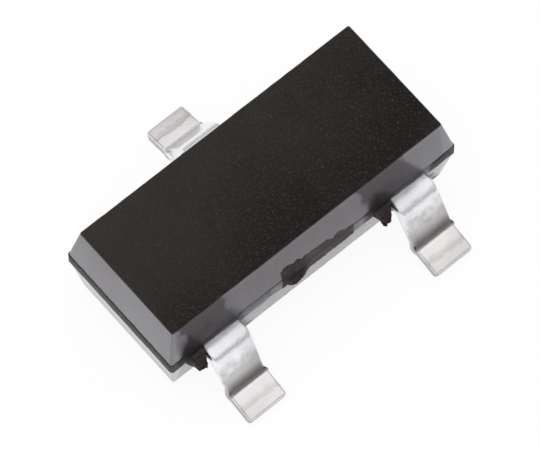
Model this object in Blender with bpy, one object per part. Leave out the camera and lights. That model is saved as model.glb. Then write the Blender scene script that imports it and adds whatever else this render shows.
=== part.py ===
"""SOT-23 transistor, drawn in millimetres and placed in metres, +Z up.

A black moulded body holds a flat copper leadframe in three pieces. The front leads (-Y side) are the
base and the emitter, each ending inside in a bond post. The back lead (+Y side) is the collector and
widens inside into the pad that carries the silicon chip. Gold wires run from the chip to the posts.
Outside, each lead bends down as a gull wing and stands on z = 0 with the tip of its foot. The origin
is under the middle of the body.
"""

import math

import bmesh
import bpy
from mathutils import Matrix, Vector

MM = 0.001

# Moulded body, in millimetres. The land is the plain upright strip where the two mould halves met.
BODY_LENGTH = 2.89
BODY_WIDTH = 1.263
STANDOFF = 0.045
LOWER_HEIGHT = 0.455
LAND_HEIGHT = 0.125
UPPER_HEIGHT = 0.405
LAND_PROUD = 0.012
SIDE_DRAFT = math.radians(9.5)
UPPER_END_DRAFT = math.radians(10.9)
LOWER_END_DRAFT = math.radians(8.5)
CORNER_RADIUS = 0.025
CORNER_STEPS = 3
RIM_RADIUS = 0.016
RIM_STEPS = 2

# Leads: one strip of sheet, bent twice outside the body
LEAD_PITCH = 1.9
LEAD_WIDTH = 0.376
LEAD_THICKNESS = 0.12
LEAD_BELOW_LAND_TOP = 0.05
SHOULDER_RUN = 0.035
SHOULDER_RADIUS = 0.03
LEG_ANGLE = math.radians(62)
HEEL_RADIUS = 0.05
FOOT_ANGLE = math.radians(14)
FOOT_LENGTH = 0.228
BEND_STEPS = 6
STRIP_EDGE = 0.012
EDGE_STEPS = 2

# Leadframe inside the body
POST_SETBACK = 0.14
POST_LENGTH = 0.36
POST_OVERHANG = 0.08
FRAME_GAP = 0.12
PAD_WIDTH = 0.84
PAD_LENGTH = 0.70
PAD_OFFSET = 0.03

# Chip and its adhesive
CHIP_WIDTH = 0.36
CHIP_THICKNESS = 0.15
STREET_WIDTH = 0.02
STREET_DEPTH = 0.005
ADHESIVE_THICKNESS = 0.02
ADHESIVE_SPREAD = 0.03

# Bond wires
WIRE_RADIUS = 0.0125
WIRE_SIDES = 10
BALL_RADIUS = 0.036
BALL_HEIGHT = 0.024
BALL_STEPS = 4
NECK_LENGTH = 0.03
LOOP_RADIUS = 0.055
LOOP_STEPS = 8
STITCH_LENGTH = 0.05
STITCH_FLATTEN = 0.45
STITCH_SPREAD = 1.5
BOND_SPACING = 0.16
BOND_SETBACK = 0.05
STITCH_INSET = 0.11

# Broken resin at the parting line
STUB_WIDTH = 0.18
STUB_REACH = 0.135
GATE_OFFSET = 0.02
GATE_WIDTH = 0.62
GATE_HEIGHT = 0.24
GATE_PROUD = 0.014
NUB_WIDTH = 0.19
NUB_HEIGHT = 0.17
NUB_REACH = 0.075
FLASH_ROOT = 0.05
FLASH_TIP = 0.7
FLASH_STEPS = 2
FLASH_ROUGHNESS = 0.35

# Room left between the resin and everything buried in it, and between stacked pieces
CLEARANCE = 0.004

LAND_BOTTOM = STANDOFF + LOWER_HEIGHT
LAND_TOP = LAND_BOTTOM + LAND_HEIGHT
LEAD_TOP = LAND_TOP - LEAD_BELOW_LAND_TOP
LEAD_MIDDLE = LEAD_TOP - LEAD_THICKNESS / 2
WALL = BODY_WIDTH / 2
ADHESIVE_BASE = LEAD_TOP + CLEARANCE
CHIP_BASE = ADHESIVE_BASE + ADHESIVE_THICKNESS + CLEARANCE
CHIP_TOP = CHIP_BASE + CHIP_THICKNESS


def empty_scene():
    for thing in list(bpy.data.objects):
        bpy.data.objects.remove(thing, do_unlink=True)


def principled(name, colour, roughness, metallic):
    material = bpy.data.materials.new(name)
    material.use_nodes = True
    shader = material.node_tree.nodes["Principled BSDF"]
    shader.inputs["Base Color"].default_value = (*colour, 1.0)
    shader.inputs["Roughness"].default_value = roughness
    shader.inputs["Metallic"].default_value = metallic
    material.diffuse_color = (*colour, 1.0)
    return material


def add_object(name, bm, material=None):
    """Turn millimetre geometry into an object in metres."""
    bmesh.ops.scale(bm, vec=(MM, MM, MM), verts=bm.verts)
    bmesh.ops.recalc_face_normals(bm, faces=bm.faces)
    mesh = bpy.data.meshes.new(name)
    bm.to_mesh(mesh)
    bm.free()
    mesh.shade_smooth()
    mesh.set_sharp_from_angle(angle=math.radians(35))
    thing = bpy.data.objects.new(name, mesh)
    bpy.context.scene.collection.objects.link(thing)
    if material:
        mesh.materials.append(material)
    else:
        thing.hide_render = True
        thing.display_type = "WIRE"
    return thing


def facing(bm, direction):
    """The face that looks most directly along a direction and lies furthest along it."""
    way = Vector(direction)
    level = [f for f in bm.faces if f.normal.dot(way) > 0.99]
    return max(level, key=lambda f: f.calc_center_median().dot(way))


def extend(bm, face, move):
    """Draw a face out of its solid by a vector and return it."""
    drawn = bmesh.ops.extrude_discrete_faces(bm, faces=[face])["faces"][0]
    bmesh.ops.translate(bm, vec=Vector(move), verts=drawn.verts)
    return drawn


def resize(bm, face, across):
    """Scale a face in its own place by a factor along each axis."""
    centre = face.calc_center_median()
    bmesh.ops.scale(bm, vec=across, space=Matrix.Translation(-centre), verts=face.verts)


def bend(bm, face, centre, axis, angle, steps):
    """Sweep a face round an axis, as a strip or a wire is bent, and return its last place."""
    for _ in range(steps):
        face = extend(bm, face, (0, 0, 0))
        turn = Matrix.Rotation(angle / steps, 3, axis)
        bmesh.ops.rotate(bm, cent=centre, matrix=turn, verts=face.verts)
    return face


def block(size, centre):
    bm = bmesh.new()
    bmesh.ops.create_cube(bm, size=1.0)
    bmesh.ops.scale(bm, vec=size, verts=bm.verts)
    bmesh.ops.translate(bm, vec=centre, verts=bm.verts)
    bm.normal_update()
    return bm


def soften(bm, edges, radius, steps):
    bmesh.ops.bevel(
        bm, geom=edges, offset=radius, segments=steps, profile=0.5, affect="EDGES",
        material=-1, clamp_overlap=True,
    )
    bm.normal_update()


def mould_half(bm, direction, height, end_draft):
    """Draw one half of the body away from the land, narrowing by the draft of the mould."""
    face = facing(bm, (0, 0, direction))
    bmesh.ops.inset_region(bm, faces=[face], thickness=LAND_PROUD, use_even_offset=True)
    face = extend(bm, face, (0, 0, direction * height))
    shorter = 2 * height * math.tan(end_draft) / (BODY_LENGTH - 2 * LAND_PROUD)
    narrower = 2 * height * math.tan(SIDE_DRAFT) / (BODY_WIDTH - 2 * LAND_PROUD)
    resize(bm, face, (1 - shorter, 1 - narrower, 1))
    bm.normal_update()
    soften(bm, list(face.edges), RIM_RADIUS, RIM_STEPS)


def body_block():
    bm = block((BODY_LENGTH, BODY_WIDTH, LAND_HEIGHT), (0, 0, LAND_BOTTOM + LAND_HEIGHT / 2))
    upright = [e for e in bm.edges if abs(e.verts[0].co.z - e.verts[1].co.z) > LAND_HEIGHT / 2]
    soften(bm, upright, CORNER_RADIUS, CORNER_STEPS)
    mould_half(bm, 1, UPPER_HEIGHT, UPPER_END_DRAFT)
    mould_half(bm, -1, LOWER_HEIGHT, LOWER_END_DRAFT)
    return bm


def leg_length():
    """The straight part of the leg that brings the flat of the foot down to z = 0."""
    half = LEAD_THICKNESS / 2
    shoulder = (SHOULDER_RADIUS + half) * (1 - math.cos(LEG_ANGLE))
    heel = (HEEL_RADIUS + half) * (math.cos(FOOT_ANGLE) - math.cos(LEG_ANGLE))
    foot = FOOT_LENGTH * math.sin(FOOT_ANGLE)
    drop = LEAD_MIDDLE - half * math.cos(FOOT_ANGLE) + STRIP_EDGE * math.sin(FOOT_ANGLE)
    return (drop - shoulder - heel - foot) / math.sin(LEG_ANGLE)


def heading(angle):
    return Vector((0, -math.cos(angle), -math.sin(angle)))


def above(angle):
    return Vector((0, -math.sin(angle), math.cos(angle)))


def lead_strip(setback, tab_length, left, right, grow=0.0):
    """A lead that leaves the body towards -Y at x = 0, with a tab of the leadframe on its inner end.

    The tab starts at the setback behind the wall and reaches out to the left and right of the strip.
    Grow thickens the strip on all sides, for the hollow that it leaves in the resin.
    """
    width = LEAD_WIDTH + 2 * grow
    thickness = LEAD_THICKNESS + 2 * grow
    bend_start = -WALL - SHOULDER_RUN
    tab_start = -WALL + setback - grow
    bm = block(
        (width, tab_start - bend_start, thickness),
        (0, (tab_start + bend_start) / 2, LEAD_MIDDLE),
    )
    tab = extend(bm, facing(bm, (0, 1, 0)), (0, tab_length + 2 * grow, 0))
    bm.normal_update()
    middle_of_tab = tab_start + tab_length / 2
    for way, reach in ((-1, left), (1, right)):
        side = next(
            f for f in bm.faces
            if f.normal.x * way > 0.99 and f.calc_center_median().y > middle_of_tab - tab_length / 4
        )
        extend(bm, side, (way * reach, 0, 0))
        bm.normal_update()

    half = LEAD_THICKNESS / 2
    end = facing(bm, (0, -1, 0))
    shoulder = Vector((0, bend_start, LEAD_MIDDLE)) - above(0) * (SHOULDER_RADIUS + half)
    end = bend(bm, end, shoulder, "X", LEG_ANGLE, BEND_STEPS)
    end = extend(bm, end, heading(LEG_ANGLE) * leg_length())
    heel = end.calc_center_median() + above(LEG_ANGLE) * (HEEL_RADIUS + half)
    end = bend(bm, end, heel, "X", FOOT_ANGLE - LEG_ANGLE, BEND_STEPS)
    extend(bm, end, heading(FOOT_ANGLE) * (FOOT_LENGTH + grow))
    bm.normal_update()
    if not grow:
        corners = [e for e in bm.edges if e.calc_face_angle() > math.radians(80)]
        soften(bm, corners, STRIP_EDGE, EDGE_STEPS)
    return bm


def front_lead(inward, grow=0.0):
    """A front lead, whose post reaches inward to a gap from the pad. Inward is 1 or -1 along X."""
    reach = LEAD_PITCH / 2 - LEAD_WIDTH / 2 - PAD_WIDTH / 2 - FRAME_GAP
    sides = (POST_OVERHANG, reach) if inward > 0 else (reach, POST_OVERHANG)
    return lead_strip(POST_SETBACK, POST_LENGTH, *sides, grow=grow)


def back_lead(grow=0.0):
    """The back lead, whose tab is the chip pad. Built towards -Y and turned round afterwards."""
    setback = WALL - PAD_LENGTH / 2 - PAD_OFFSET
    overhang = (PAD_WIDTH - LEAD_WIDTH) / 2
    return lead_strip(setback, PAD_LENGTH, overhang, overhang, grow=grow)


def adhesive(grow=0.0):
    """A thin bed that spreads a little past the chip at its foot."""
    foot = CHIP_WIDTH + 2 * ADHESIVE_SPREAD + 2 * grow
    height = ADHESIVE_THICKNESS + 2 * grow
    bm = block((foot, foot, height), (0, 0, ADHESIVE_THICKNESS / 2))
    share = (CHIP_WIDTH + ADHESIVE_SPREAD / 2 + 2 * grow) / foot
    resize(bm, facing(bm, (0, 0, 1)), (share, share, 1))
    return bm


def chip(grow=0.0):
    """The chip: its rim is the narrow lane that the saw ran along, a step below the top."""
    side = CHIP_WIDTH + 2 * grow
    height = CHIP_THICKNESS + 2 * grow
    bm = block((side, side, height), (0, 0, CHIP_THICKNESS / 2))
    if grow:
        return bm
    top = facing(bm, (0, 0, 1))
    bmesh.ops.inset_region(bm, faces=[top], thickness=STREET_WIDTH, use_even_offset=True)
    lane = [v for v in bm.verts if v.co.z > height / 2 and v not in top.verts]
    bmesh.ops.translate(bm, vec=(0, 0, -STREET_DEPTH), verts=lane)
    return bm


def bond_places(side):
    """Ball and stitch places of a wire, on the chip's and the post's top. Side is -1 or 1 along X."""
    ball = Vector((side * BOND_SPACING / 2, PAD_OFFSET - BOND_SETBACK, CHIP_TOP + CLEARANCE))
    post_edge = PAD_WIDTH / 2 + FRAME_GAP
    post_middle = -WALL + POST_SETBACK + POST_LENGTH / 2
    stitch = Vector((side * (post_edge + STITCH_INSET), post_middle, LEAD_TOP + CLEARANCE))
    return ball, stitch


def bond_wire(run, drop, grow=0.0):
    """A wire from a ball at the origin, up, over and down to a flattened stitch at x = run."""
    radius = WIRE_RADIUS + grow
    first = math.pi / (2 * BALL_STEPS)
    ball = BALL_RADIUS + grow

    def girth(angle):
        return max(radius, ball * math.cos(angle)) if angle > 0 else ball * math.cos(angle)

    low = -math.pi / 4
    high = math.pi / 2 - first
    levels = [low + (high - low) * step / BALL_STEPS for step in range(BALL_STEPS + 1)]
    floor, ceiling = math.sin(low), math.sin(high)
    heights = [BALL_HEIGHT * (math.sin(a) - floor) / (ceiling - floor) for a in levels]

    bm = bmesh.new()
    bmesh.ops.create_cone(
        bm, cap_ends=True, segments=WIRE_SIDES, radius1=girth(levels[0]), radius2=girth(levels[1]),
        depth=heights[1] + grow,
    )
    bmesh.ops.translate(bm, vec=(0, 0, (heights[1] - grow) / 2), verts=bm.verts)
    bm.normal_update()
    tip = facing(bm, (0, 0, 1))
    for before, after in zip(range(1, BALL_STEPS), range(2, BALL_STEPS + 1)):
        tip = extend(bm, tip, (0, 0, heights[after] - heights[before]))
        share = girth(levels[after]) / girth(levels[before])
        resize(bm, tip, (share, share, 1))
    share = radius / girth(levels[-1])
    tip = extend(bm, tip, (0, 0, NECK_LENGTH / 4))
    resize(bm, tip, (share, share, 1))
    tip = extend(bm, tip, (0, 0, NECK_LENGTH * 3 / 4))

    crest = Vector((LOOP_RADIUS, 0, tip.calc_center_median().z))
    landing = Vector((run - STITCH_LENGTH, 0, WIRE_RADIUS - drop + LOOP_RADIUS))
    apart = landing - crest
    slope = math.atan2(-apart.z, apart.x) + math.asin(2 * LOOP_RADIUS / apart.length)
    straight = math.sqrt(apart.length_squared - 4 * LOOP_RADIUS**2)
    down = Vector((math.cos(slope), 0, -math.sin(slope)))

    tip = bend(bm, tip, crest, "Y", math.pi / 2 + slope, LOOP_STEPS)
    tip = extend(bm, tip, down * straight)
    tip = bend(bm, tip, landing, "Y", -slope, LOOP_STEPS)
    sink = WIRE_RADIUS * (1 - STITCH_FLATTEN)
    tip = extend(bm, tip, (STITCH_LENGTH + grow, 0, -sink))
    resize(bm, tip, (1, STITCH_SPREAD, STITCH_FLATTEN))
    return bm


def flash(width, height, reach, lean, seed):
    """A broken piece of resin on the -Y face of a wall at y = 0, rooted behind it.

    It narrows towards its tip and its faces are uneven. With a lean of 1 or -1 it keeps to that side.
    """
    bm = block((width, FLASH_ROOT, height), (0, FLASH_ROOT / 2, 0))
    aside = lean * width * (1 - FLASH_TIP) / 2
    tip = extend(bm, facing(bm, (0, -1, 0)), (aside, -reach, 0))
    resize(bm, tip, (FLASH_TIP, 1, FLASH_TIP))
    broken = [e for e in bm.edges if min(v.co.y for v in e.verts) < 0]
    bmesh.ops.subdivide_edges(
        bm, edges=broken, cuts=FLASH_STEPS, use_grid_fill=True, fractal=FLASH_ROUGHNESS, seed=seed
    )
    bmesh.ops.triangulate(bm, faces=bm.faces)
    return bm


def joined(target, tool, operation):
    modifier = target.modifiers.new(tool.name, "BOOLEAN")
    modifier.operation = operation
    modifier.solver = "EXACT"
    modifier.object = tool


def place(thing, spot, turn=0.0):
    thing.location = Vector(spot) * MM
    thing.rotation_euler = (0, 0, turn)


def add_flash(body):
    """Resin stubs on the left of each lead, and what the gate left on the front wall."""
    front = -WALL + LAND_PROUD
    beside = -LEAD_WIDTH / 2 - STUB_WIDTH / 2
    gate_left = GATE_OFFSET - GATE_WIDTH / 2
    scar = flash(GATE_WIDTH, GATE_HEIGHT, LAND_PROUD + GATE_PROUD, 0, 11)
    nub = flash(NUB_WIDTH, NUB_HEIGHT, LAND_PROUD + NUB_REACH, -1, 17)
    pieces = [
        ("gate_scar", scar, (GATE_OFFSET, front, LAND_BOTTOM + GATE_HEIGHT / 2), 0.0),
        ("gate_nub", nub, (gate_left + NUB_WIDTH / 2, front, LAND_BOTTOM), 0.0),
    ]
    stubs = [
        ("base_stub", beside - LEAD_PITCH / 2, front, 0.0, 1, 3),
        ("emitter_stub", beside + LEAD_PITCH / 2, front, 0.0, 1, 4),
        ("collector_stub", beside, -front, math.pi, -1, 5),
    ]
    for name, x, y, turn, lean, seed in stubs:
        stub = flash(STUB_WIDTH, LEAD_THICKNESS, LAND_PROUD + STUB_REACH, lean, seed)
        pieces.append((name, stub, (x, y, LEAD_MIDDLE), turn))
    for name, bm, spot, turn in pieces:
        piece = add_object(name, bm)
        place(piece, spot, turn)
        joined(body, piece, "UNION")


def main():
    empty_scene()
    resin = principled("black_moulding_compound", (0.022, 0.019, 0.017), 0.55, 0.0)
    tin = principled("matte_tin_plated_copper", (0.78, 0.78, 0.79), 0.35, 1.0)
    silicon = principled("silicon", (0.16, 0.17, 0.2), 0.2, 0.6)
    silver = principled("silver_filled_adhesive", (0.6, 0.6, 0.58), 0.5, 0.4)
    gold = principled("gold", (0.9, 0.62, 0.2), 0.25, 1.0)

    body = add_object("moulded_body", body_block(), resin)
    add_flash(body)

    base_x, emitter_x = -LEAD_PITCH / 2, LEAD_PITCH / 2
    place(add_object("base_lead", front_lead(1), tin), (base_x, 0, 0))
    place(add_object("emitter_lead", front_lead(-1), tin), (emitter_x, 0, 0))
    place(add_object("collector_lead", back_lead(), tin), (0, 0, 0), math.pi)
    place(add_object("chip_adhesive", adhesive(), silver), (0, PAD_OFFSET, ADHESIVE_BASE))
    place(add_object("transistor_chip", chip(), silicon), (0, PAD_OFFSET, CHIP_BASE))

    hollows = [
        (add_object("base_lead_hollow", front_lead(1, CLEARANCE)), (base_x, 0, 0), 0.0),
        (add_object("emitter_lead_hollow", front_lead(-1, CLEARANCE)), (emitter_x, 0, 0), 0.0),
        (add_object("collector_lead_hollow", back_lead(CLEARANCE)), (0, 0, 0), math.pi),
        (add_object("adhesive_hollow", adhesive(CLEARANCE)), (0, PAD_OFFSET, ADHESIVE_BASE), 0.0),
        (add_object("chip_hollow", chip(CLEARANCE)), (0, PAD_OFFSET, CHIP_BASE), 0.0),
    ]
    for name, side in (("base_bond_wire", -1), ("emitter_bond_wire", 1)):
        ball, stitch = bond_places(side)
        span = stitch - ball
        run = math.hypot(span.x, span.y)
        turn = math.atan2(span.y, span.x)
        place(add_object(name, bond_wire(run, -span.z), gold), ball, turn)
        hollow = add_object(name + "_hollow", bond_wire(run, -span.z, CLEARANCE))
        hollows.append((hollow, ball, turn))
    for hollow, spot, turn in hollows:
        place(hollow, spot, turn)
        joined(body, hollow, "DIFFERENCE")


main()
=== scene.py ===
"""SOT-23 transistor: a black moulded body on three bent, tin-plated copper leads."""

import math

import bmesh
import bpy
from mathutils import Matrix, Vector, noise


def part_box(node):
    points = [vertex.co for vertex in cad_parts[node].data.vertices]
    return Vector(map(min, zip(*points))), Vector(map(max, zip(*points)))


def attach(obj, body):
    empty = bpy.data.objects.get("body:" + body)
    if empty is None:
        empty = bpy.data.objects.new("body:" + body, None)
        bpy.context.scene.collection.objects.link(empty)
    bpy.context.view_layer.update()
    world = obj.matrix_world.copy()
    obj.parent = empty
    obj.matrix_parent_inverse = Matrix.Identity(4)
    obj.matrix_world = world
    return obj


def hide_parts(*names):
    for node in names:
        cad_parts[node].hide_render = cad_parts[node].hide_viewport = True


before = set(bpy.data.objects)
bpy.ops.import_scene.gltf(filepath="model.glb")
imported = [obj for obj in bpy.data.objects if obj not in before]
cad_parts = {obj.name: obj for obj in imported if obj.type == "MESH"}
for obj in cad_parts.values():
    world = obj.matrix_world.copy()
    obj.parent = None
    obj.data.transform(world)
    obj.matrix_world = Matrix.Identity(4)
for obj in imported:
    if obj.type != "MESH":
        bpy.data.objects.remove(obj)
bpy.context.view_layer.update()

# Moulded body: one piece of black filled epoxy, moulded round the leads. Its two drafted halves
# meet in a narrow land. The mould leaves the top and bottom matte and the walls satin; the walls'
# paler, purplish colour is painted sheen. All lengths are in millimetres and turn into metres as
# each mesh is finished.
MM = 0.001
body_low, body_high = (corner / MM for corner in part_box("moulded_body"))
BODY_LENGTH = body_high.x - body_low.x
BODY_WIDTH = 1.263
BODY_WALL = BODY_WIDTH / 2
LOWER_HEIGHT = 0.455
LAND_HEIGHT = 0.125
LAND_BOTTOM = body_low.z + LOWER_HEIGHT
LAND_TOP = LAND_BOTTOM + LAND_HEIGHT
UPPER_HEIGHT = body_high.z - LAND_TOP
LAND_PROUD = 0.007
LAND_EDGE = 0.004
SIDE_DRAFT = math.radians(9.5)
UPPER_END_DRAFT = math.radians(10.9)
LOWER_END_DRAFT = math.radians(8.5)
CORNER_RADIUS = 0.028
CORNER_STEPS = 6
RIM_RADIUS = 0.018
RIM_STEPS = 6
SHARP_ANGLE = math.radians(24)
LONG_CUTS = 120
SHORT_CUTS = 52
LAND_WAVER = 0.006
RIM_WAVER = 0.002
RIM_WAVER_DEPTH = 0.12
WAVER_SIZE = 0.07
WAVER_SEED = 1


def block(size, centre):
    bm = bmesh.new()
    bmesh.ops.create_cube(bm, size=1.0)
    bmesh.ops.scale(bm, vec=size, verts=bm.verts)
    bmesh.ops.translate(bm, vec=centre, verts=bm.verts)
    bm.normal_update()
    return bm


def facing(bm, direction):
    """The level face that lies furthest along a direction."""
    way = Vector(direction)
    level = [face for face in bm.faces if face.normal.dot(way) > 0.99]
    return max(level, key=lambda face: face.calc_center_median().dot(way))


def drawn_out(bm, face, move):
    face = bmesh.ops.extrude_discrete_faces(bm, faces=[face])["faces"][0]
    bmesh.ops.translate(bm, vec=Vector(move), verts=face.verts)
    return face


def resized(bm, face, across):
    centre = face.calc_center_median()
    bmesh.ops.scale(bm, vec=across, space=Matrix.Translation(-centre), verts=face.verts)


def rounded(bm, edges, radius, steps):
    bmesh.ops.bevel(
        bm, geom=edges, offset=radius, segments=steps, profile=0.5, affect="EDGES",
        material=-1, clamp_overlap=True,
    )
    bm.normal_update()


def mould_half(bm, direction, height, end_draft):
    """One half of the body, which narrows away from the land so that it leaves the mould."""
    face = facing(bm, (0, 0, direction))
    rounded(bm, list(face.edges), LAND_EDGE, 2)
    face = facing(bm, (0, 0, direction))
    bmesh.ops.inset_region(
        bm, faces=[face], thickness=LAND_PROUD - LAND_EDGE, use_even_offset=True
    )
    face = drawn_out(bm, face, (0, 0, direction * height))
    shorter = 2 * height * math.tan(end_draft) / (BODY_LENGTH - 2 * LAND_PROUD)
    narrower = 2 * height * math.tan(SIDE_DRAFT) / (BODY_WIDTH - 2 * LAND_PROUD)
    resized(bm, face, (1 - shorter, 1 - narrower, 1))
    bm.normal_update()
    rounded(bm, list(face.edges), RIM_RADIUS, RIM_STEPS)


def cut_along(bm, axis, shortest, cuts):
    """Divides the long edges that run along one axis, so that their line can waver."""
    long = [
        edge for edge in bm.edges
        if abs(edge.verts[0].co[axis] - edge.verts[1].co[axis]) > shortest
    ]
    bmesh.ops.subdivide_edges(bm, edges=long, cuts=cuts, use_grid_fill=False)


def finished(name, bm, materials):
    """The piece in metres, at the origin, shaded smooth apart from its sharp edges."""
    bmesh.ops.scale(bm, vec=(MM, MM, MM), verts=bm.verts)
    bmesh.ops.recalc_face_normals(bm, faces=bm.faces)
    mesh = bpy.data.meshes.new(name)
    bm.to_mesh(mesh)
    bm.free()
    for material in materials:
        mesh.materials.append(material)
    mesh.shade_smooth()
    mesh.set_sharp_from_angle(angle=SHARP_ANGLE)
    piece = bpy.data.objects.new(name, mesh)
    bpy.context.scene.collection.objects.link(piece)
    return piece


def node(tree, kind, **inputs):
    made = tree.nodes.new(kind)
    for name, value in inputs.items():
        made.inputs[name.replace("_", " ")].default_value = value
    return made


def setting(made, **values):
    for name, value in values.items():
        setattr(made, name, value)
    return made


def maths(tree, operation, first, second=None, clamp=False):
    """A Math node whose operands are numbers or sockets. Returns its output."""
    made = setting(tree.nodes.new("ShaderNodeMath"), operation=operation, use_clamp=clamp)
    for place, value in enumerate((first, second)):
        if value is None:
            continue
        if isinstance(value, bpy.types.NodeSocket):
            tree.links.new(value, made.inputs[place])
        else:
            made.inputs[place].default_value = value
    return made.outputs[0]


def between(tree, value, low, high, out_low=0.0, out_high=1.0):
    """A smooth Map Range node from low..high to out_low..out_high. Returns its output."""
    made = setting(tree.nodes.new("ShaderNodeMapRange"), interpolation_type="SMOOTHSTEP")
    made.inputs["From Min"].default_value = low
    made.inputs["From Max"].default_value = high
    made.inputs["To Min"].default_value = out_low
    made.inputs["To Max"].default_value = out_high
    tree.links.new(value, made.inputs["Value"])
    return made.outputs["Result"]


def blended(tree, amount, first, second):
    """A colour between two colours or colour sockets."""
    made = setting(tree.nodes.new("ShaderNodeMix"), data_type="RGBA")
    tree.links.new(amount, made.inputs["Factor"])
    for place, value in ((6, first), (7, second)):
        if isinstance(value, bpy.types.NodeSocket):
            tree.links.new(value, made.inputs[place])
        else:
            made.inputs[place].default_value = (*value, 1.0)
    return made.outputs[2]


def shader_group(name, inputs, outputs):
    """A shader node group with number outputs, and its input and output nodes."""
    group = bpy.data.node_groups.new(name, "ShaderNodeTree")
    for label, kind in inputs:
        group.interface.new_socket(label, in_out="INPUT", socket_type=kind)
    for label in outputs:
        group.interface.new_socket(label, in_out="OUTPUT", socket_type="NodeSocketFloat")
    return group, group.nodes.new("NodeGroupInput"), group.nodes.new("NodeGroupOutput")


# The grain of a surface: its size is in millimetres, its place on the piece in metres.
surface_grain, grain_in, grain_out = shader_group(
    "surface_grain",
    (("Place", "NodeSocketVector"), ("Size", "NodeSocketFloat")),
    ("Height", "Blotch", "Speck"),
)
per_grain = maths(surface_grain, "DIVIDE", 1 / MM, grain_in.outputs["Size"])
grain_place = setting(surface_grain.nodes.new("ShaderNodeVectorMath"), operation="SCALE")
surface_grain.links.new(grain_in.outputs["Place"], grain_place.inputs[0])
surface_grain.links.new(per_grain, grain_place.inputs["Scale"])
grain_noise = node(surface_grain, "ShaderNodeTexNoise", Scale=1.0, Detail=4.0, Roughness=0.6)
blotch_noise = node(surface_grain, "ShaderNodeTexNoise", Scale=0.16, Detail=3.0, Roughness=0.55)
speck_cells = node(surface_grain, "ShaderNodeTexVoronoi", Scale=0.7, Randomness=1.0)
for texture in (grain_noise, blotch_noise, speck_cells):
    surface_grain.links.new(grain_place.outputs[0], texture.inputs["Vector"])
surface_grain.links.new(grain_noise.outputs[0], grain_out.inputs["Height"])
surface_grain.links.new(
    between(surface_grain, blotch_noise.outputs[0], 0.35, 0.65), grain_out.inputs["Blotch"]
)
surface_grain.links.new(
    between(surface_grain, speck_cells.outputs["Distance"], 0.16, 0.05), grain_out.inputs["Speck"]
)


def grain(tree, place, size):
    made = setting(tree.nodes.new("ShaderNodeGroup"), node_tree=surface_grain)
    tree.links.new(place, made.inputs["Place"])
    made.inputs["Size"].default_value = size
    return made.outputs


def material_tree(name):
    """A material, its node tree, its Principled BSDF and the place on the piece in metres."""
    material = bpy.data.materials.new(name)
    material.use_nodes = True
    tree = material.node_tree
    shader = tree.nodes["Principled BSDF"]
    place = tree.nodes.new("ShaderNodeTexCoord").outputs["Object"]
    return material, tree, shader, place


def raised(tree, height, distance, strength, after=None):
    """A Bump node over another one's normal. Distance is in metres. Returns its normal."""
    made = node(tree, "ShaderNodeBump", Distance=distance, Strength=strength)
    tree.links.new(height, made.inputs["Height"])
    if after:
        tree.links.new(after, made.inputs["Normal"])
    return made.outputs["Normal"]


MATTE_RESIN = (0.0034, 0.0021, 0.0011)
# Painted sheen: the walls' paler, purplish colours.
SHEEN_PAINTED_RESIN = (0.036, 0.017, 0.033)
SHEEN_PAINTED_COOL = (0.022, 0.017, 0.041)
# Paler resin: painted light towards the back left, and the resin's own random blotches.
RESIN_LIT_AND_BLOTCHED = (0.036, 0.030, 0.026)
RESIN_GRIT = (0.033, 0.028, 0.024)
MATTE_ROUGHNESS = 0.6
SATIN_ROUGHNESS = 0.33
RESIN_GRAIN = 0.015
LEDGE_GLOSS = 1.35
LAND_GLOSS = 0.62
END_LAND_GLOSS = 0.12
FRONT_GLOSS = 0.6
RIGHT_GLOSS = 1.28
RIM_GLOSS = 1.14
RIM_BAND_LOW = 0.09
RIM_BAND_HIGH = 0.03
FRONT_FROM = -0.40
FRONT_TO = -0.50
RIGHT_FROM = 0.2
RIGHT_TO = 1.1
END_WALL_FROM = 1.31
END_WALL_TO = 1.37
END_LAND_FROM = 1.12
END_LAND_TO = 1.22
# Painted reflection: the front wall is painted darker beside the front leads and round the stubs.
LEAD_REFLECTION_DARKENING = 0.62
LEAD_REFLECTION_ZONES = ((-1.32, -0.89, -0.34), (0.445, 0.93, -0.42))
ZONE_WAVER = 0.22
ZONE_SOFT_LEFT = 0.04
ZONE_SOFT_RIGHT = 0.06
STUB_PLACES = (-1.22, 0.66)
STUB_SHADE_REACH = 0.19
STUB_SHADE_CLIMB = 0.7
STUB_SHADE_BELOW_LAND = 0.02
STUB_SHADE_GLOSS = 0.12
# Painted light: the top is paler towards the back left.
BACK_LIGHT_TURN = -0.25
BACK_LIGHT_FROM = -0.6
BACK_LIGHT_TO = 0.9
BACK_LIGHT_SHARE = 0.5
BLOTCH_SHARE = 0.22
GRAIN_RELIEF = 0.0000045

resin, tree, shader, place = material_tree("black_moulding_compound")
shader.inputs["IOR"].default_value = 1.55
shader.inputs["Specular IOR Level"].default_value = 0.17
shader.inputs["Coat IOR"].default_value = 2.35
shader.inputs["Coat Roughness"].default_value = 0.16
spot = setting(tree.nodes.new("ShaderNodeVectorMath"), operation="SCALE")
spot.inputs["Scale"].default_value = 1 / MM
tree.links.new(place, spot.inputs[0])
spot_parts = tree.nodes.new("ShaderNodeSeparateXYZ")
tree.links.new(spot.outputs[0], spot_parts.inputs[0])
along, across, height = spot_parts.outputs
under_rim = between(
    tree, height, body_high.z - 0.8 * RIM_RADIUS, body_high.z - 0.1 * RIM_RADIUS, 1.0, 0.0
)
over_rim = between(tree, height, body_low.z, body_low.z + 0.3 * RIM_RADIUS)
above_land = between(tree, height, LAND_TOP - 2 * LAND_EDGE, LAND_TOP - LAND_EDGE)
below_land = between(tree, height, LAND_BOTTOM - LAND_EDGE, LAND_BOTTOM + LAND_EDGE, 1.0, 0.0)
off_land = maths(tree, "MAXIMUM", above_land, below_land)
under_wall = between(tree, height, LAND_TOP, LAND_TOP + LAND_EDGE, 1.0, 0.0)
ledge = maths(tree, "MULTIPLY", above_land, under_wall)
from_middle = maths(tree, "ABSOLUTE", along)
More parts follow.
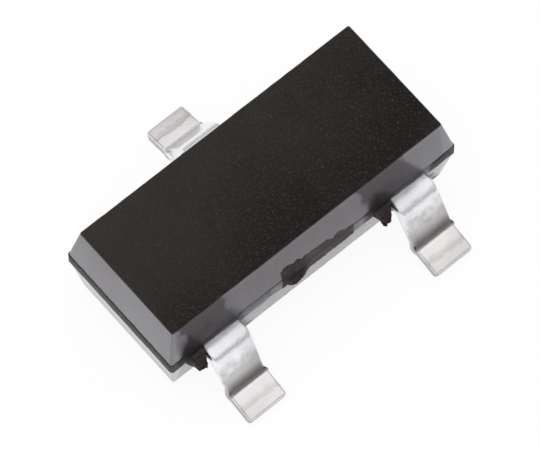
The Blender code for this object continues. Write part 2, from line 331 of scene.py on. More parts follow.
by_end = between(tree, from_middle, END_LAND_FROM, END_LAND_TO)
land_gloss = between(tree, by_end, 0.0, 1.0, LAND_GLOSS, END_LAND_GLOSS)
satin = maths(tree, "MULTIPLY", under_rim, over_rim)
end_ledge = maths(tree, "MULTIPLY", ledge, by_end)
on_face = maths(tree, "MAXIMUM", maths(tree, "SUBTRACT", 1.0, off_land), end_ledge)
land_loss = maths(tree, "MULTIPLY", on_face, maths(tree, "SUBTRACT", 1.0, land_gloss))
satin = maths(tree, "MULTIPLY", satin, maths(tree, "SUBTRACT", 1.0, land_loss))
fine = grain(tree, place, RESIN_GRAIN)
broad = grain(tree, place, RESIN_GRAIN * 9)

# Painted reflection: beside the front leads and round the stubs the wall is painted darker and
# less glossy, in zones that lean with its height, for the dark leads and stubs that it mirrors.
wavy = maths(tree, "MULTIPLY", maths(tree, "SUBTRACT", broad["Height"], 0.5), ZONE_WAVER)
on_front = between(tree, across, FRONT_FROM, FRONT_TO)
for zone_left, zone_right, slant in LEAD_REFLECTION_ZONES:
    leaning = maths(tree, "MULTIPLY", maths(tree, "SUBTRACT", body_high.z, height), slant)
    leaned = maths(tree, "ADD", maths(tree, "ADD", along, leaning), wavy)
    into = between(tree, leaned, zone_left - ZONE_SOFT_LEFT, zone_left + ZONE_SOFT_LEFT)
    out_of = between(tree, leaned, zone_right + ZONE_SOFT_RIGHT, zone_right - ZONE_SOFT_RIGHT)
    zone = maths(tree, "MULTIPLY", maths(tree, "MULTIPLY", into, out_of), on_front)
    left_satin = between(tree, zone, 0.0, 1.0, 1.0, 1.0 - LEAD_REFLECTION_DARKENING)
    satin = maths(tree, "MULTIPLY", satin, left_satin)
# Painted reflection: round each stub the wall is painted darker, for the stub that it mirrors.
for stub_x in STUB_PLACES:
    beside = maths(tree, "ABSOLUTE", maths(tree, "SUBTRACT", along, stub_x))
    over = maths(tree, "MAXIMUM", maths(tree, "SUBTRACT", height, LAND_TOP), 0.0)
    climbed = maths(tree, "ADD", beside, maths(tree, "MULTIPLY", over, STUB_SHADE_CLIMB))
    far = maths(tree, "ADD", climbed, wavy)
    near_stub_shade = between(tree, far, STUB_SHADE_REACH * 1.1, STUB_SHADE_REACH * 0.4)
    stub_shade = maths(tree, "MULTIPLY", near_stub_shade, on_front)
    over_foot = between(tree, height, LAND_BOTTOM - STUB_SHADE_BELOW_LAND, LAND_BOTTOM)
    stub_shade = maths(tree, "MULTIPLY", stub_shade, over_foot)
    satin = maths(tree, "MULTIPLY", satin, between(tree, stub_shade, 0.0, 1.0, 1.0, STUB_SHADE_GLOSS))
at_end = between(tree, from_middle, END_WALL_FROM, END_WALL_TO, FRONT_GLOSS, 1.0)
gloss = maths(tree, "MULTIPLY", satin, at_end)
to_right = between(tree, along, RIGHT_FROM, RIGHT_TO, 1.0, RIGHT_GLOSS)
gloss = maths(tree, "MULTIPLY", gloss, to_right)
by_rim = between(
    tree, height, body_high.z - RIM_BAND_LOW, body_high.z - RIM_BAND_HIGH, 1.0, RIM_GLOSS
)
gloss = maths(tree, "MULTIPLY", gloss, by_rim)
on_ledge = between(tree, ledge, 0.0, 1.0, 1.0, LEDGE_GLOSS)
gloss = maths(tree, "MULTIPLY", gloss, on_ledge, clamp=True)

# Painted light: the top is painted paler towards the back left, where more light falls; the
# blotches and the grit are the resin's own.
turned = maths(tree, "ADD", across, maths(tree, "MULTIPLY", along, BACK_LIGHT_TURN))
lit_back_left = between(tree, turned, BACK_LIGHT_FROM, BACK_LIGHT_TO)
blotchy = maths(tree, "MULTIPLY", broad["Blotch"], BLOTCH_SHARE)
uneven = maths(tree, "ADD", maths(tree, "MULTIPLY", lit_back_left, BACK_LIGHT_SHARE), blotchy)
colour = blended(tree, uneven, MATTE_RESIN, RESIN_LIT_AND_BLOTCHED)
colour = blended(tree, between(tree, fine["Height"], 0.5, 0.72), colour, RESIN_GRIT)
# Painted sheen: the satin walls get a paler, purplish colour, mottled by blotches, over their real
# gloss.
painted_sheen_tone = blended(tree, broad["Blotch"], SHEEN_PAINTED_RESIN, SHEEN_PAINTED_COOL)
colour = blended(tree, satin, colour, painted_sheen_tone)
tree.links.new(colour, shader.inputs["Base Color"])
rough = between(tree, satin, 0.0, 1.0, MATTE_ROUGHNESS, SATIN_ROUGHNESS)
rough = maths(tree, "ADD", rough, between(tree, broad["Blotch"], 0.0, 1.0, -0.04, 0.05))
tree.links.new(rough, shader.inputs["Roughness"])
coat = maths(tree, "MULTIPLY", gloss, between(tree, broad["Blotch"], 0.0, 1.0, 0.86, 1.0))
tree.links.new(coat, shader.inputs["Coat Weight"])
depth = between(tree, satin, 0.0, 1.0, 1.0, 0.2)
relief = maths(tree, "MULTIPLY", fine["Height"], depth)
tree.links.new(raised(tree, relief, GRAIN_RELIEF, 1.0), shader.inputs["Normal"])

# The broken places show the rough inside of the resin, worn paler between the nub and the stub.
BROKEN_RESIN = (0.026, 0.020, 0.019)
BROKEN_EDGE = (0.052, 0.044, 0.040)
WORN_SCAR = (0.070, 0.062, 0.062)
NUB_SIDE_FROM = -0.16 * MM
NUB_SIDE_TO = -0.04 * MM
STUB_SIDE_FROM = 0.42 * MM
STUB_SIDE_TO = 0.5 * MM
WORN_SHARE = 0.9
CRUMB_RELIEF = 0.000008

broken_resin, tree, shader, place = material_tree("broken_moulding_compound")
shader.inputs["IOR"].default_value = 1.55
shader.inputs["Specular IOR Level"].default_value = 0.25
crumbs = grain(tree, place, RESIN_GRAIN * 1.6)
where = tree.nodes.new("ShaderNodeSeparateXYZ")
tree.links.new(place, where.inputs[0])
off_nub = between(tree, where.outputs["X"], NUB_SIDE_FROM, NUB_SIDE_TO)
off_stub = between(tree, where.outputs["X"], STUB_SIDE_FROM, STUB_SIDE_TO, 1.0, 0.0)
worn = maths(tree, "MULTIPLY", maths(tree, "MULTIPLY", off_nub, off_stub), WORN_SHARE)
colour = blended(tree, between(tree, crumbs["Height"], 0.45, 0.75), BROKEN_RESIN, BROKEN_EDGE)
colour = blended(tree, worn, colour, WORN_SCAR)
tree.links.new(colour, shader.inputs["Base Color"])
tree.links.new(between(tree, crumbs["Blotch"], 0.0, 1.0, 0.6, 0.85), shader.inputs["Roughness"])
tree.links.new(raised(tree, crumbs["Height"], CRUMB_RELIEF, 0.9), shader.inputs["Normal"])

bm = block((BODY_LENGTH, BODY_WIDTH, LAND_HEIGHT), (0, 0, LAND_BOTTOM + LAND_HEIGHT / 2))
upright = [e for e in bm.edges if abs(e.verts[0].co.z - e.verts[1].co.z) > LAND_HEIGHT / 2]
rounded(bm, upright, CORNER_RADIUS, CORNER_STEPS)
mould_half(bm, 1, UPPER_HEIGHT, UPPER_END_DRAFT)
mould_half(bm, -1, LOWER_HEIGHT, LOWER_END_DRAFT)
cut_along(bm, 0, BODY_LENGTH / 2, LONG_CUTS)
cut_along(bm, 1, BODY_WIDTH / 2, SHORT_CUTS)
# Blender seeds its vector noise from the clock, so the seed is set before the first use.
noise.seed_set(WAVER_SEED)
for vert in bm.verts:
    on_land = LAND_BOTTOM - LAND_EDGE < vert.co.z < LAND_TOP + LAND_EDGE
    waver = LAND_WAVER if on_land else RIM_WAVER
    shift = noise.noise_vector(vert.co / WAVER_SIZE) * waver
    if abs(vert.co.y) > BODY_WALL - RIM_WAVER_DEPTH:
        vert.co += Vector((0, shift.y, shift.z * 0.5))
    else:
        vert.co += shift * 0.5
moulded_body = finished("moulded_body_finish", bm, (resin, broken_resin))

# Broken resin: the body was snapped off its gate and its dam bars, so the front wall keeps a
# ragged scar with a nub, and a stub stays in the corner beside each lead.
lead_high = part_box("base_lead")[1] / MM
LEAD_PITCH = 1.9
LEAD_WIDTH = 0.376
LEAD_THICKNESS = 0.12
LEAD_TOP = lead_high.z
LEAD_MIDDLE = LEAD_TOP - LEAD_THICKNESS / 2
STUB_WIDTH = 0.18
STUB_REACH = 0.095
STUB_OVERLAP = 0.03
STUB_CUTS = 17
STUB_RAGGED = 0.016
NUB_LEFT = -0.28
NUB_WIDTH = 0.25
NUB_HEIGHT = 0.14
NUB_REACH = 0.04
SCAR_LEFT = -0.33
SCAR_RIGHT = 0.40
SCAR_HIGH_LEFT = 0.745
SCAR_HIGH_RIGHT = 0.645
SCAR_STEP = 0.006
SCAR_PROUD = 0.007
SCAR_SLOPE = 0.016
RESIN_ROOT = 0.06
STUB_COARSE = 22
STUB_FINE = 75
STUB_FINE_SHARE = 0.6
STUB_TIP_HEIGHT = 0.6
STUB_TIP_PULL = 1.2
SCAR_SPARE_HEIGHT = 0.12
SCAR_SPARE_BELOW = 0.02
SCAR_EDGE_WAVER = 0.05
SCAR_EDGE_ALONG = 11
SCAR_EDGE_UP = 5
SCAR_RELIEF = 0.6
SCAR_RELIEF_DENSITY = 26
SCAR_OVER_LAND = 0.01


def broken_stub(width, height, reach, tip_share, lean, seed):
    """A stub on the -Y side of a wall at y = 0, ragged towards its tip, which leans along X."""
    bm = block((width, RESIN_ROOT, height), (0, RESIN_ROOT / 2, 0))
    aside = lean * width * (1 - tip_share) / 2
    tip = drawn_out(bm, facing(bm, (0, -1, 0)), (aside, -reach, 0))
    resized(bm, tip, (tip_share, 1, STUB_TIP_HEIGHT))
    outer = [edge for edge in bm.edges if min(vert.co.y for vert in edge.verts) < 0]
    bmesh.ops.subdivide_edges(bm, edges=outer, cuts=STUB_CUTS, use_grid_fill=True)
    for vert in bm.verts:
        out = min(1, max(0, -vert.co.y / reach))
        coarse = noise.noise_vector(vert.co * STUB_COARSE + Vector((seed, 0, 0)))
        crumbled = noise.noise_vector(vert.co * STUB_FINE + Vector((0, seed, 0)))
        vert.co += (coarse + crumbled * STUB_FINE_SHARE) * STUB_RAGGED * (0.3 + out)
        vert.co.y -= coarse.z * STUB_RAGGED * STUB_TIP_PULL * out
    return bm


def gate_scar(seed):
    """The face left where the gate broke off: a low uneven rise over the land and the wall."""
    width = SCAR_RIGHT - SCAR_LEFT
    height = SCAR_HIGH_LEFT - LAND_BOTTOM + SCAR_SPARE_HEIGHT
    bm = bmesh.new()
    bmesh.ops.create_grid(
        bm, x_segments=round(width / SCAR_STEP), y_segments=round(height / SCAR_STEP), size=0.5
    )
    bmesh.ops.scale(bm, vec=(width, height, 1), verts=bm.verts)
    upright = Matrix.Rotation(math.pi / 2, 3, "X")
    bmesh.ops.rotate(bm, cent=(0, 0, 0), matrix=upright, verts=bm.verts)
    middle = ((SCAR_LEFT + SCAR_RIGHT) / 2, 0, LAND_BOTTOM + height / 2 - SCAR_SPARE_BELOW)
    bmesh.ops.translate(bm, vec=middle, verts=bm.verts)
    for vert in bm.verts:
        x, z = vert.co.x, vert.co.z
        along = (x - SCAR_LEFT) / width
        edge_place = Vector((x * SCAR_EDGE_ALONG, seed, z * SCAR_EDGE_UP))
        ragged = noise.fractal(edge_place, 1.0, 2.0, 4)
        top = SCAR_HIGH_LEFT + (SCAR_HIGH_RIGHT - SCAR_HIGH_LEFT) * along
        top += SCAR_EDGE_WAVER * ragged
        inside = min(top - z, x - SCAR_LEFT, SCAR_RIGHT - x, z - LAND_BOTTOM + SCAR_SLOPE)
        rise = min(1, max(-1, inside / SCAR_SLOPE))
        relief_place = Vector((x * SCAR_RELIEF_DENSITY, z * SCAR_RELIEF_DENSITY, seed))
        uneven = noise.fractal(relief_place, 1.0, 2.0, 5)
        over_land = min(LAND_PROUD, max(0, LAND_TOP + SCAR_OVER_LAND - z))
        set_back = max(0, z - LAND_TOP) * math.tan(SIDE_DRAFT)
        wall_face = -(BODY_WALL - LAND_PROUD) + set_back - over_land
        vert.co.y = wall_face - rise * SCAR_PROUD * (1 + SCAR_RELIEF * uneven)
    back = bmesh.ops.extrude_face_region(bm, geom=list(bm.faces))["geom"]
    back_verts = [part for part in back if isinstance(part, bmesh.types.BMVert)]
    bmesh.ops.translate(bm, vec=(0, RESIN_ROOT * 2, 0), verts=back_verts)
    return bm


def unite(target, piece):
    """Joins a closed piece to another one and removes it."""
    modifier = target.modifiers.new("joined", "BOOLEAN")
    setting(modifier, operation="UNION", solver="EXACT", object=piece, material_mode="TRANSFER")
    graph = bpy.context.evaluated_depsgraph_get()
    mesh = bpy.data.meshes.new_from_object(target.evaluated_get(graph))
    target.modifiers.clear()
    target.data = mesh
    bpy.data.objects.remove(piece, do_unlink=True)


front = -BODY_WALL + LAND_PROUD
beside_lead = -LEAD_WIDTH / 2 - STUB_WIDTH / 2 + STUB_OVERLAP
base_side = beside_lead - LEAD_PITCH / 2
emitter_side = beside_lead + LEAD_PITCH / 2
flash_side = LEAD_WIDTH / 2 + 0.025
# name, x, y, turn, width, reach, share of the width at the tip, lean, noise seed
stub_plan = (
    ("base_stub", base_side, front, 0.0, STUB_WIDTH, STUB_REACH * 1.25, 0.35, -0.3, 3.1),
    ("emitter_stub", emitter_side, front, 0.0, STUB_WIDTH, STUB_REACH * 1.3, 0.25, -0.8, 9.7),
    ("collector_stub", beside_lead, -front, math.pi, STUB_WIDTH, STUB_REACH * 0.8, 0.75, -0.6, 5.3),
    ("collector_flash", flash_side, -front, math.pi, 0.08, 0.035, 0.6, 0.0, 7.7),
)
ragged = []
for name, x, y, turn, width, reach, tip_share, lean, seed in stub_plan:
    bm = broken_stub(width, LEAD_THICKNESS, LAND_PROUD + reach, tip_share, lean, seed)
    bmesh.ops.rotate(bm, cent=(0, 0, 0), matrix=Matrix.Rotation(turn, 3, "Z"), verts=bm.verts)
    bmesh.ops.translate(bm, vec=(x, y, LEAD_MIDDLE), verts=bm.verts)
    ragged.append(finished(name, bm, (broken_resin,)))
bm = broken_stub(NUB_WIDTH, NUB_HEIGHT, LAND_PROUD + NUB_REACH, 0.3, -0.5, 12.9)
nub_place = (NUB_LEFT + NUB_WIDTH / 2, front, LAND_BOTTOM + 0.03)
bmesh.ops.translate(bm, vec=nub_place, verts=bm.verts)
ragged.append(finished("gate_nub", bm, (broken_resin,)))
ragged.append(finished("gate_scar", gate_scar(2.7), (broken_resin,)))
bpy.context.view_layer.update()
for piece in ragged:
    unite(moulded_body, piece)
moulded_body.data.set_sharp_from_angle(angle=SHARP_ANGLE)
bm = bmesh.new()
bm.from_mesh(moulded_body.data)
for edge in bm.edges:
    if len({face.material_index for face in edge.link_faces}) > 1:
        edge.smooth = False
bm.to_mesh(moulded_body.data)
bm.free()
weighted = moulded_body.modifiers.new("flat_faces", "WEIGHTED_NORMAL")
weighted.keep_sharp = True
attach(moulded_body, "root")
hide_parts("moulded_body")

# Leads: strips of copper sheet, stamped, tin plated and bent twice by a forming tool. The metal
# swells sideways at each bend. Inside the body the front leads end in bond posts and the back one
# in the chip pad.
SHOULDER_RUN = 0.035
SHOULDER_RADIUS = 0.03
LEG_ANGLE = math.radians(62)
HEEL_RADIUS = 0.05
FOOT_ANGLE = math.radians(14)
FOOT_LENGTH = 0.228
BEND_STEPS = 14
HEEL_SWELL = 0.016
SHOULDER_SWELL = 0.004
STRIP_EDGE = 0.012
TIN_EDGE = 0.03
TIN_EDGE_STEPS = 5
POST_SETBACK = 0.14
POST_LENGTH = 0.36
POST_OVERHANG = 0.08
FRAME_GAP = 0.12
PAD_WIDTH = 0.84
PAD_LENGTH = 0.70
PAD_OFFSET = 0.03


def heading(angle):
    return Vector((0, -math.cos(angle), -math.sin(angle)))


def above(angle):
    return Vector((0, -math.sin(angle), math.cos(angle)))


def bent(bm, face, centre, angle, swell, waist):
    """Sweeps the strip's end round an axis along X. It swells sideways and loses its waist."""
    for step in range(1, BEND_STEPS + 1):
        face = drawn_out(bm, face, (0, 0, 0))
        turn = Matrix.Rotation(angle / BEND_STEPS, 3, "X")
        bmesh.ops.rotate(bm, cent=centre, matrix=turn, verts=face.verts)
        bulge = swell * math.sin(math.pi * step / BEND_STEPS)
        bulge -= waist * (1 - step / BEND_STEPS)
        for vert in face.verts:
            vert.co.x = math.copysign(LEAD_WIDTH / 2 + bulge, vert.co.x)
    return face


def lead_strip(setback, tab_length, left, right, waist):
    """A lead that leaves the body towards -Y at x = 0, with its tab inside the body."""
    half = LEAD_THICKNESS / 2
    bend_start = -BODY_WALL - SHOULDER_RUN
    tab_start = -BODY_WALL + setback
    bm = block(
        (LEAD_WIDTH, tab_start - bend_start, LEAD_THICKNESS),
        (0, (tab_start + bend_start) / 2, LEAD_MIDDLE),
    )
    drawn_out(bm, facing(bm, (0, 1, 0)), (0, tab_length, 0))
    bm.normal_update()
    past_neck = tab_start + tab_length / 4
    for way, reach in ((-1, left), (1, right)):
        side = next(
            face for face in bm.faces
            if face.normal.x * way > 0.99 and face.calc_center_median().y > past_neck
        )
        drawn_out(bm, side, (way * reach, 0, 0))
        bm.normal_update()
    shoulder_drop = (SHOULDER_RADIUS + half) * (1 - math.cos(LEG_ANGLE))
    heel_drop = (HEEL_RADIUS + half) * (math.cos(FOOT_ANGLE) - math.cos(LEG_ANGLE))
    foot_drop = (FOOT_LENGTH - STRIP_EDGE) * math.sin(FOOT_ANGLE) + half * math.cos(FOOT_ANGLE)
    leg = (LEAD_MIDDLE - shoulder_drop - heel_drop - foot_drop) / math.sin(LEG_ANGLE)
    end = facing(bm, (0, -1, 0))
    shoulder = Vector((0, bend_start, LEAD_MIDDLE)) - above(0) * (SHOULDER_RADIUS + half)
    end = bent(bm, end, shoulder, LEG_ANGLE, SHOULDER_SWELL, 0.0)
    end = drawn_out(bm, end, heading(LEG_ANGLE) * leg)
    for vert in end.verts:
        vert.co.x = math.copysign(LEAD_WIDTH / 2 - waist, vert.co.x)
    heel = end.calc_center_median() + above(LEG_ANGLE) * (HEEL_RADIUS + half)
    end = bent(bm, end, heel, FOOT_ANGLE - LEG_ANGLE, HEEL_SWELL, waist)
    drawn_out(bm, end, heading(FOOT_ANGLE) * FOOT_LENGTH)
    bm.normal_update()
    corners = [edge for edge in bm.edges if edge.calc_face_angle() > math.radians(78)]
    rounded(bm, corners, TIN_EDGE, TIN_EDGE_STEPS)
    return bm


TIN_BRIGHT = (0.94, 0.94, 0.97)
TIN_FOOT = (0.92, 0.87, 0.865)
# Darker tin: painted shade on the leg and the back foot, and the dull patches and the tool's
# groove.
TIN_SHADED_AND_DULL = (0.47, 0.455, 0.46)
TIN_SOILED = (0.40, 0.375, 0.36)
TIN_CUT = (0.365, 0.355, 0.36)
# Painted shade in the crease inside the heel's bend.
HEEL_CREASE_SHADE = (0.125, 0.104, 0.099)
TIN_GRAIN = 0.03
HEEL_NEAR = 0.895
HEEL_MIDDLE = 0.952
HEEL_FAR = 0.99
# Where the painted shade of the leg starts and where it is full.
LEG_BRIGHT = 0.795
LEG_SHADED = 0.90
SHOULDER_NEAR = 0.66
SHOULDER_FAR = 0.84
WALL_FADE = 0.09
MIDDLE_BAND = 0.1 * MM
WANDER = 0.05
LEG_WANDER = 3.0
TOOL_WANDER = 1.6
LEG_SHADING = 0.85
BACK_LEG_SHARE = 0.1
PRESSED_FROM = 1.045
PRESSED_TO = 1.105
GROOVE_FROM = 1.11
GROOVE_TO = 1.13
GROOVE_SHARE = 0.42
# Painted shade on the back foot.
BACK_FOOT_SHADE = 0.12
FRONT_BLOTCHES = 0.24
BACK_BLOTCHES = 0.08
SPECK_SHARE = 0.12
CUT_LEVEL = 0.38
CUT_STEEP = 0.1
TOPSIDE_FROM = 0.15 * MM
TOPSIDE_TO = 0.18 * MM
HEEL_SHARE = 0.92
BACK_HEEL_SHARE = 0.15
WALL_ROUGHER = 0.08
WALL_CALM = 0.25
BACK_CALM = 0.3
STEP_RELIEF = 0.000003
WAVE_RELIEF = 0.000012
TIN_RELIEF = 0.0000014

tin, tree, shader, place = material_tree("matte_tin_plating")
shader.inputs["Metallic"].default_value = 1.0
grains = grain(tree, place, TIN_GRAIN)
patches = grain(tree, place, TIN_GRAIN * 2.6)
where = tree.nodes.new("ShaderNodeSeparateXYZ")
tree.links.new(place, where.inputs[0])
out = maths(tree, "MULTIPLY", maths(tree, "ABSOLUTE", where.outputs["Y"]), 1 / MM)
wander = maths(tree, "MULTIPLY", maths(tree, "SUBTRACT", patches["Height"], 0.5), WANDER)
leg_out = maths(tree, "ADD", out, maths(tree, "MULTIPLY", wander, LEG_WANDER))
front_side = between(tree, where.outputs["Y"], -MIDDLE_BAND, MIDDLE_BAND, 1.0, 0.0)

# The leg is painted darker towards the heel, as painted shade, and the foot has a groove where
# the forming tool ended.
shaded_leg = between(tree, leg_out, LEG_BRIGHT, LEG_SHADED)
past_heel = between(tree, out, HEEL_FAR - 0.02, HEEL_FAR, 1.0, 0.0)
shade_and_dull = maths(tree, "MULTIPLY", maths(tree, "MULTIPLY", shaded_leg, past_heel), LEG_SHADING)
shade_and_dull = maths(tree, "MULTIPLY", shade_and_dull, between(tree, front_side, 0.0, 1.0, BACK_LEG_SHARE, 1.0))
tool_edge = maths(tree, "ADD", out, maths(tree, "MULTIPLY", wander, TOOL_WANDER))
pressed = between(tree, tool_edge, PRESSED_FROM, PRESSED_TO)
groove_end = between(tree, tool_edge, GROOVE_FROM, GROOVE_TO, 1.0, 0.3)
groove = maths(tree, "MULTIPLY", pressed, groove_end)
shade_and_dull = maths(tree, "ADD", shade_and_dull, maths(tree, "MULTIPLY", groove, GROOVE_SHARE))
# Painted shade: the back foot is painted a little darker.
back_foot = maths(tree, "SUBTRACT", 1.0, maths(tree, "MAXIMUM", front_side, past_heel))
shade_and_dull = maths(tree, "ADD", shade_and_dull, maths(tree, "MULTIPLY", back_foot, BACK_FOOT_SHADE))
blotch_share = between(tree, front_side, 0.0, 1.0, BACK_BLOTCHES, FRONT_BLOTCHES)
blotches = maths(tree, "MULTIPLY", patches["Blotch"], blotch_share)
shade_and_dull = maths(tree, "ADD", shade_and_dull, blotches, clamp=True)
on_foot = between(tree, out, HEEL_FAR - 0.01, HEEL_FAR + 0.02)
colour = blended(tree, on_foot, TIN_BRIGHT, TIN_FOOT)
colour = blended(tree, shade_and_dull, colour, TIN_SHADED_AND_DULL)
soiled = maths(tree, "MULTIPLY", grains["Speck"], SPECK_SHARE)
colour = blended(tree, soiled, colour, TIN_SOILED)

# The sides show the cut strip, and the crease inside the heel is painted dark, as painted shade.
side_on = tree.nodes.new("ShaderNodeSeparateXYZ")
tree.links.new(tree.nodes.new("ShaderNodeNewGeometry").outputs["Normal"], side_on.inputs[0])
cut_side = between(tree, side_on.outputs["Z"], CUT_LEVEL, CUT_STEEP)
cut_side = maths(tree, "MULTIPLY", cut_side, between(tree, out, SHOULDER_FAR, HEEL_MIDDLE))
colour = blended(tree, cut_side, colour, TIN_CUT)
# Painted shade: the inside of the heel's bend is painted dark, less on the back lead.
into_heel = between(tree, out, HEEL_NEAR, HEEL_MIDDLE)
heel_out = between(tree, out, HEEL_MIDDLE, HEEL_FAR, 1.0, 0.0)
topside = between(tree, where.outputs["Z"], TOPSIDE_FROM, TOPSIDE_TO)
heel = maths(tree, "MULTIPLY", maths(tree, "MULTIPLY", into_heel, heel_out), topside)
heel_share = between(tree, front_side, 0.0, 1.0, BACK_HEEL_SHARE, HEEL_SHARE)
heel = maths(tree, "MULTIPLY", heel, heel_share)
colour = blended(tree, heel, colour, HEEL_CREASE_SHADE)
tree.links.new(colour, shader.inputs["Base Color"])

# Beside the wall and on the back lead the plating is smoother, but a little less shiny by the wall.
by_wall = between(tree, out, SHOULDER_NEAR, SHOULDER_NEAR + WALL_FADE, 1.0, 0.0)
rough = between(tree, patches["Blotch"], 0.0, 1.0, 0.2, 0.3)
rough = maths(tree, "ADD", rough, maths(tree, "MULTIPLY", by_wall, WALL_ROUGHER))
tree.links.new(rough, shader.inputs["Roughness"])
step = between(tree, pressed, 0.0, 1.0, 1.0, 0.0)
calm_by_wall = between(tree, by_wall, 0.0, 1.0, 1.0, WALL_CALM)
calm_at_back = between(tree, front_side, 0.0, 1.0, BACK_CALM, 1.0)
calm = maths(tree, "MULTIPLY", calm_by_wall, calm_at_back)
waves = maths(tree, "MULTIPLY", patches["Height"], calm)
dents = raised(tree, step, STEP_RELIEF, 0.8, raised(tree, waves, WAVE_RELIEF, 0.55))
fine_grain = maths(tree, "MULTIPLY", grains["Height"], calm)
tree.links.new(raised(tree, fine_grain, TIN_RELIEF, 0.3, dents), shader.inputs["Normal"])

post_reach = LEAD_PITCH / 2 - LEAD_WIDTH / 2 - PAD_WIDTH / 2 - FRAME_GAP
pad_setback = BODY_WALL - PAD_LENGTH / 2 - PAD_OFFSET
pad_side = (PAD_WIDTH - LEAD_WIDTH) / 2
base_x, emitter_x = -LEAD_PITCH / 2, LEAD_PITCH / 2
# name, x, turn, set back of the tab, its length, its reach to the left and right, waist of the leg
lead_plan = (
    ("base_lead", base_x, 0.0, POST_SETBACK, POST_LENGTH, POST_OVERHANG, post_reach, 0.02),
    ("emitter_lead", emitter_x, 0.0, POST_SETBACK, POST_LENGTH, post_reach, POST_OVERHANG, 0.006),
    ("collector_lead", 0.0, math.pi, pad_setback, PAD_LENGTH, pad_side, pad_side, 0.01),
)
for name, x, turn, setback, tab_length, left, right, waist in lead_plan:
    bm = lead_strip(setback, tab_length, left, right, waist)
    bmesh.ops.rotate(bm, cent=(0, 0, 0), matrix=Matrix.Rotation(turn, 3, "Z"), verts=bm.verts)
    bmesh.ops.translate(bm, vec=(x, 0, 0), verts=bm.verts)
    lead = finished(name + "_plated", bm, (tin,))
    flat_faces = lead.modifiers.new("flat_faces", "WEIGHTED_NORMAL")
    flat_faces.keep_sharp = True
    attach(lead, "root")
    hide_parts(name)

# Chip and adhesive: a sawn silicon chip glued on the collector's pad with silver-filled epoxy.
# Both are sealed in the resin, so their CAD shapes stay and get better materials.
SILICON_GREY = (0.14, 0.15, 0.19)
SILICON_PALE = (0.2, 0.2, 0.23)
EPOXY_GREY = (0.55, 0.54, 0.52)
SILVER_FLAKE = (0.8, 0.8, 0.78)

silicon, tree, shader, place = material_tree("silicon_chip")
shader.inputs["Metallic"].default_value = 0.6
lapped = grain(tree, place, 0.01)
colour = blended(tree, lapped["Blotch"], SILICON_GREY, SILICON_PALE)
tree.links.new(colour, shader.inputs["Base Color"])
tree.links.new(between(tree, lapped["Height"], 0.0, 1.0, 0.15, 0.3), shader.inputs["Roughness"])

adhesive, tree, shader, place = material_tree("silver_filled_adhesive")
shader.inputs["Metallic"].default_value = 0.4
flakes = grain(tree, place, 0.006)
colour = blended(tree, flakes["Speck"], EPOXY_GREY, SILVER_FLAKE)
tree.links.new(colour, shader.inputs["Base Color"])
tree.links.new(between(tree, flakes["Blotch"], 0.0, 1.0, 0.35, 0.6), shader.inputs["Roughness"])

for name, material in (("transistor_chip", silicon), ("chip_adhesive", adhesive)):
    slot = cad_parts[name].material_slots[0]
    setting(slot, link="OBJECT", material=material)

# Bond wires: drawn gold wire, balled at the chip and pressed flat at the post, sealed in the
# resin. Their CAD shapes stay and get a better material.
GOLD_PALE = (0.95, 0.66, 0.24)
GOLD_DEEP = (0.86, 0.58, 0.2)

gold, tree, shader, place = material_tree("drawn_gold")
shader.inputs["Metallic"].default_value = 1.0
drawn = grain(tree, place, 0.004)
colour = blended(tree, drawn["Blotch"], GOLD_PALE, GOLD_DEEP)
tree.links.new(colour, shader.inputs["Base Color"])
tree.links.new(between(tree, drawn["Height"], 0.0, 1.0, 0.18, 0.32), shader.inputs["Roughness"])
for name in ("base_bond_wire", "emitter_bond_wire"):
    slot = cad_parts[name].material_slots[0]
    setting(slot, link="OBJECT", material=gold)

# Table: a white sheet with the part's soft shadow. Camera and reflections see it almost plain
# white, and from below it is clear.
TABLE_SIZE = 400.0
TABLE_WHITE = (0.92, 0.92, 0.92)
WHITE_SHARE = 0.93

bm = bmesh.new()
bmesh.ops.create_grid(bm, x_segments=1, y_segments=1, size=TABLE_SIZE / 2)
table_white = bpy.data.materials.new("white_table")
table_white.use_nodes = True
tree = table_white.node_tree
tree.nodes.clear()
sheet = node(tree, "ShaderNodeBsdfDiffuse", Color=(*TABLE_WHITE, 1.0))
glow = node(tree, "ShaderNodeEmission", Color=(1.0, 1.0, 1.0, 1.0), Strength=1.0)
path = tree.nodes.new("ShaderNodeLightPath").outputs
seen = maths(tree, "ADD", path["Is Camera Ray"], path["Is Glossy Ray"])
seen = maths(tree, "ADD", seen, path["Is Transmission Ray"], clamp=True)
share = maths(tree, "MULTIPLY", seen, WHITE_SHARE)
face_mix = tree.nodes.new("ShaderNodeMixShader")
tree.links.new(share, face_mix.inputs[0])
tree.links.new(sheet.outputs[0], face_mix.inputs[1])
tree.links.new(glow.outputs[0], face_mix.inputs[2])
clear = tree.nodes.new("ShaderNodeBsdfTransparent")
under = tree.nodes.new("ShaderNodeNewGeometry").outputs["Backfacing"]
side_mix = tree.nodes.new("ShaderNodeMixShader")
tree.links.new(under, side_mix.inputs[0])
tree.links.new(face_mix.outputs[0], side_mix.inputs[1])
tree.links.new(clear.outputs[0], side_mix.inputs[2])
tree.links.new(side_mix.outputs[0], tree.nodes.new("ShaderNodeOutputMaterial").inputs["Surface"])
table = finished("table", bm, (table_white,))

# Light: a studio that is bright overhead and dim towards the horizon, so that the bent metal
# mirrors a grey band, and one soft panel above the part.
PANEL_SIZE = 50.0
PANEL_PLACE = (-6.0, 10.0, 60.0)
PANEL_POWER = 0.012
BRIGHT_SKY = 0.95
DIM_SKY = 0.5
DIM_TOP = 0.32
BRIGHT_FROM = 0.68

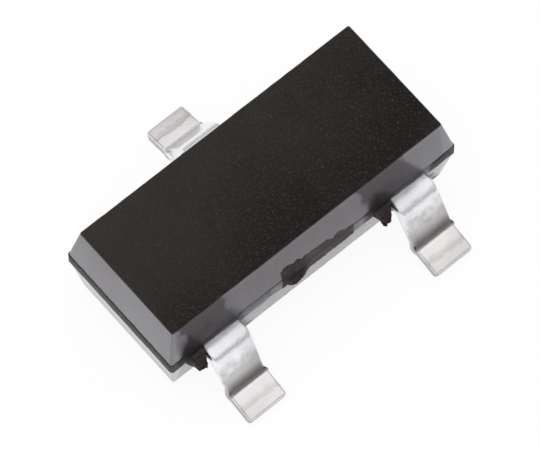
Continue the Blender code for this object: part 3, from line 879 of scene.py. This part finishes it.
panel_light = bpy.data.lights.new("overhead_panel", "AREA")
setting(panel_light, shape="DISK", size=PANEL_SIZE * MM, energy=PANEL_POWER)
panel = bpy.data.objects.new("overhead_panel", panel_light)
panel.location = Vector(PANEL_PLACE) * MM
panel.rotation_euler = (-panel.location).to_track_quat("-Z", "Y").to_euler()
panel.visible_glossy = False
bpy.context.scene.collection.objects.link(panel)

world = bpy.data.worlds.new("studio")
bpy.context.scene.world = world
world.use_nodes = True
tree = world.node_tree
tree.nodes.clear()
way = tree.nodes.new("ShaderNodeSeparateXYZ")
tree.links.new(tree.nodes.new("ShaderNodeTexCoord").outputs["Generated"], way.inputs[0])
sky = between(tree, way.outputs["Z"], DIM_TOP, BRIGHT_FROM, DIM_SKY, BRIGHT_SKY)
surround = node(tree, "ShaderNodeBackground", Color=(1.0, 1.0, 1.0, 1.0))
tree.links.new(sky, surround.inputs["Strength"])
tree.links.new(surround.outputs[0], tree.nodes.new("ShaderNodeOutputWorld").inputs["Surface"])

# Camera: a long lens from high on the front left, rolled and shifted as the photograph was framed.
# The angles, the distance and the scale come from the fit to the edges in the photo.
AZIMUTH = math.radians(-38.74)
ELEVATION = math.radians(66.56)
ROLL = math.radians(-1.53)
DISTANCE = 56.3
AIM = Vector((0, 0, 0.5))
PIXELS_PER_MM = 128.52
FRAME_WIDTH = 540
SHIFT_RIGHT = 8.04
SHIFT_UP = 19.33
SENSOR = 36.0

lens = bpy.data.cameras.new("camera")
lens.sensor_width = SENSOR
lens.lens = PIXELS_PER_MM * DISTANCE / FRAME_WIDTH * SENSOR
lens.shift_x = SHIFT_RIGHT / FRAME_WIDTH
lens.shift_y = -SHIFT_UP / FRAME_WIDTH
lens.clip_start = 1.0 * MM
lens.clip_end = 1.0
camera = bpy.data.objects.new("camera", lens)
back = Vector((
    math.sin(AZIMUTH) * math.cos(ELEVATION),
    -math.cos(AZIMUTH) * math.cos(ELEVATION),
    math.sin(ELEVATION),
))
right = Vector((math.cos(AZIMUTH), math.sin(AZIMUTH), 0))
up = back.cross(right)
rolled_right = right * math.cos(ROLL) + up * math.sin(ROLL)
rolled_up = up * math.cos(ROLL) - right * math.sin(ROLL)
camera.rotation_mode = "QUATERNION"
camera.rotation_quaternion = Matrix((rolled_right, rolled_up, back)).transposed().to_quaternion()
camera.location = (AIM + back * DISTANCE) * MM
bpy.context.scene.collection.objects.link(camera)
bpy.context.scene.camera = camera
bpy.context.scene.view_settings.view_transform = "Standard"
